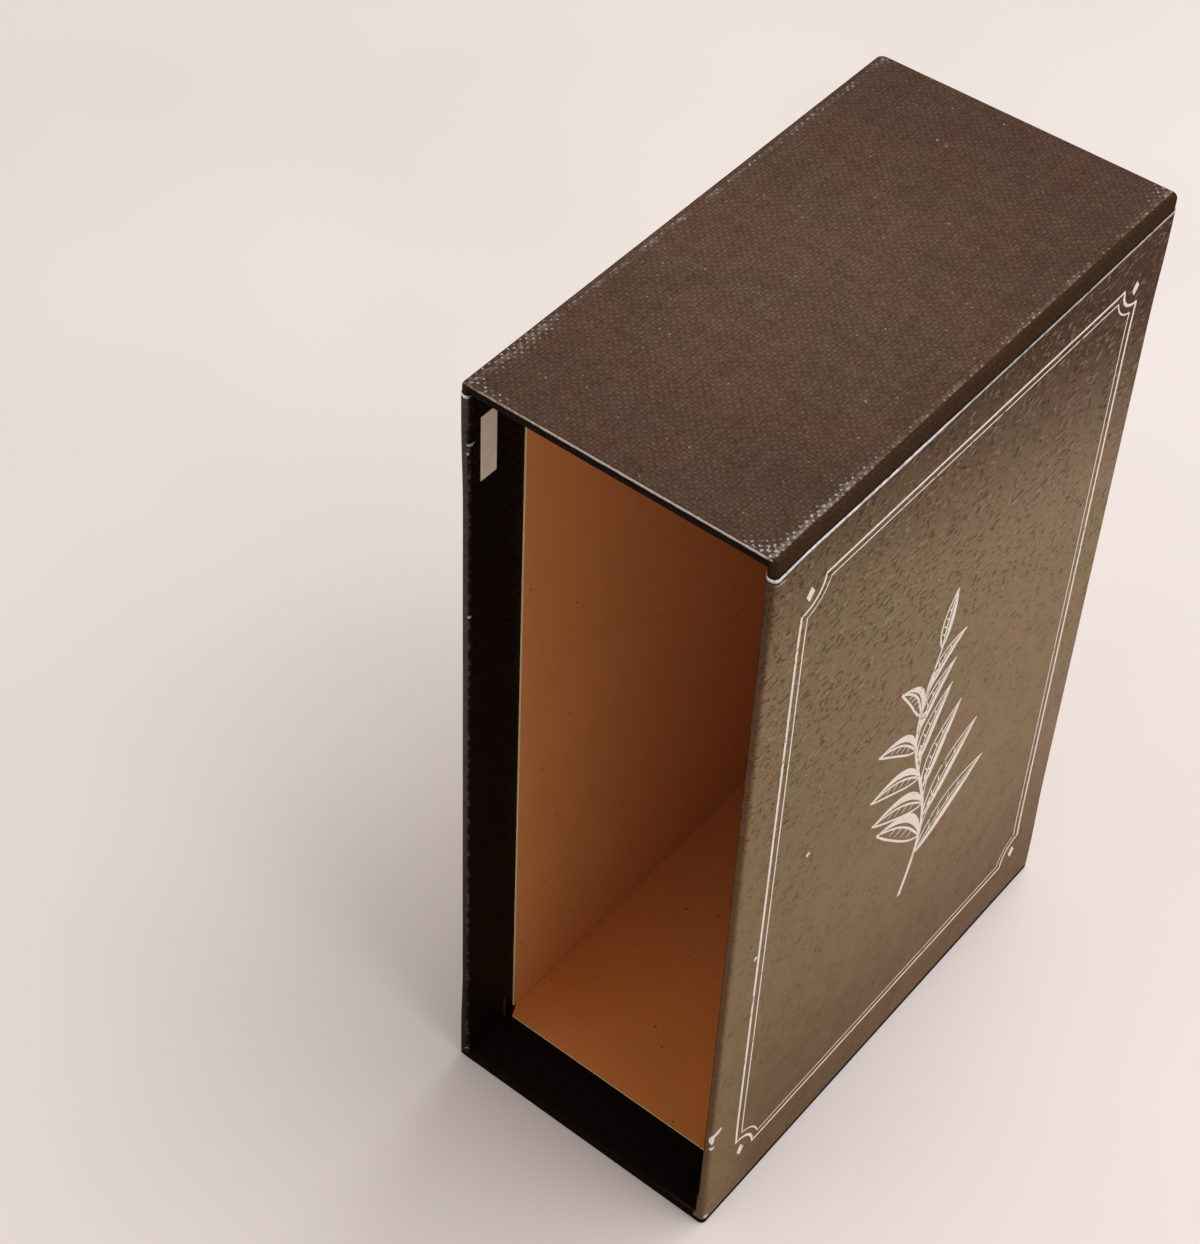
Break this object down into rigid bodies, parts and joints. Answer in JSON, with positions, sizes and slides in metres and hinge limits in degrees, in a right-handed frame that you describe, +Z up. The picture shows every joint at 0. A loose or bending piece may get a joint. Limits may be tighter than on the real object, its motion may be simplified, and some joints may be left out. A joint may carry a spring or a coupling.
{
  "type": "book slipcase",
  "caption": "Open-ended upright slipcase of cloth and paper covered board, with turned-in mouth edges and tan card liners, made to hold one thick book.",
  "frame": {"origin": "middle of the foot, on the surface that the case stands on", "axes": "+Z up along the tallest side, +X across the narrowest side, and the open mouth faces -Y"},
  "size_m": [0.078, 0.146, 0.23],
  "materials": {
    "greyboard": "matte pressed grey board",
    "book_cloth": "matte woven book cloth, dark brown-black",
    "grained_paper": "satin leather-grained paper, printed black on a white core",
    "tan_card": "matte tan kraft card",
    "label_paper": "matte uncoated paper"
  },
  "bodies": {
    "root": {"left_board": "greyboard", "right_board": "greyboard", "back_board": "greyboard", "head_board": "greyboard", "foot_board": "greyboard", "head_cloth": "book_cloth", "foot_cloth": "book_cloth", "side_sheet": "grained_paper", "left_liner": "tan_card", "right_liner": "tan_card", "floor_liner": "tan_card", "ceiling_liner": "tan_card", "back_liner": "tan_card", "shelf_label": "label_paper"}
  },
  "joints": []
}
